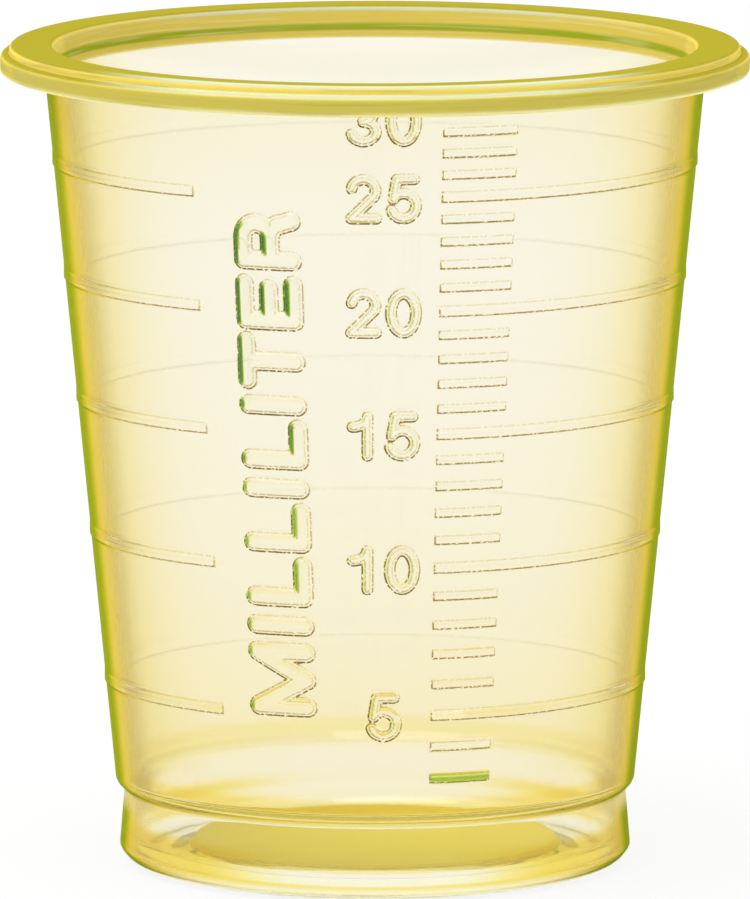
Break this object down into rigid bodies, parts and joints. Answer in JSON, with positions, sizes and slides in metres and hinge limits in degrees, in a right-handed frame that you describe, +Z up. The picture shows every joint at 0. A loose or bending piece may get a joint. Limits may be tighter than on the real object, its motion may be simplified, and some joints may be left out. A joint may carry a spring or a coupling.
{
  "type": "medicine cup",
  "caption": "Small translucent plastic dosing cup with a tapered body, flanged rim, raised millilitre marks and rings, and a stepped foot under a raised floor.",
  "frame": {"origin": "centre of the plane that the cup stands on, on its axis", "axes": "+Z up along the cup's axis to the rim, -Y towards the front with the scale, +X to the right seen from the front"},
  "size_m": [0.0398, 0.0398, 0.0439],
  "materials": {
    "polypropylene": "translucent pale yellow, faintly pebbled"
  },
  "bodies": {
    "root": {"cup": "polypropylene"}
  },
  "joints": []
}
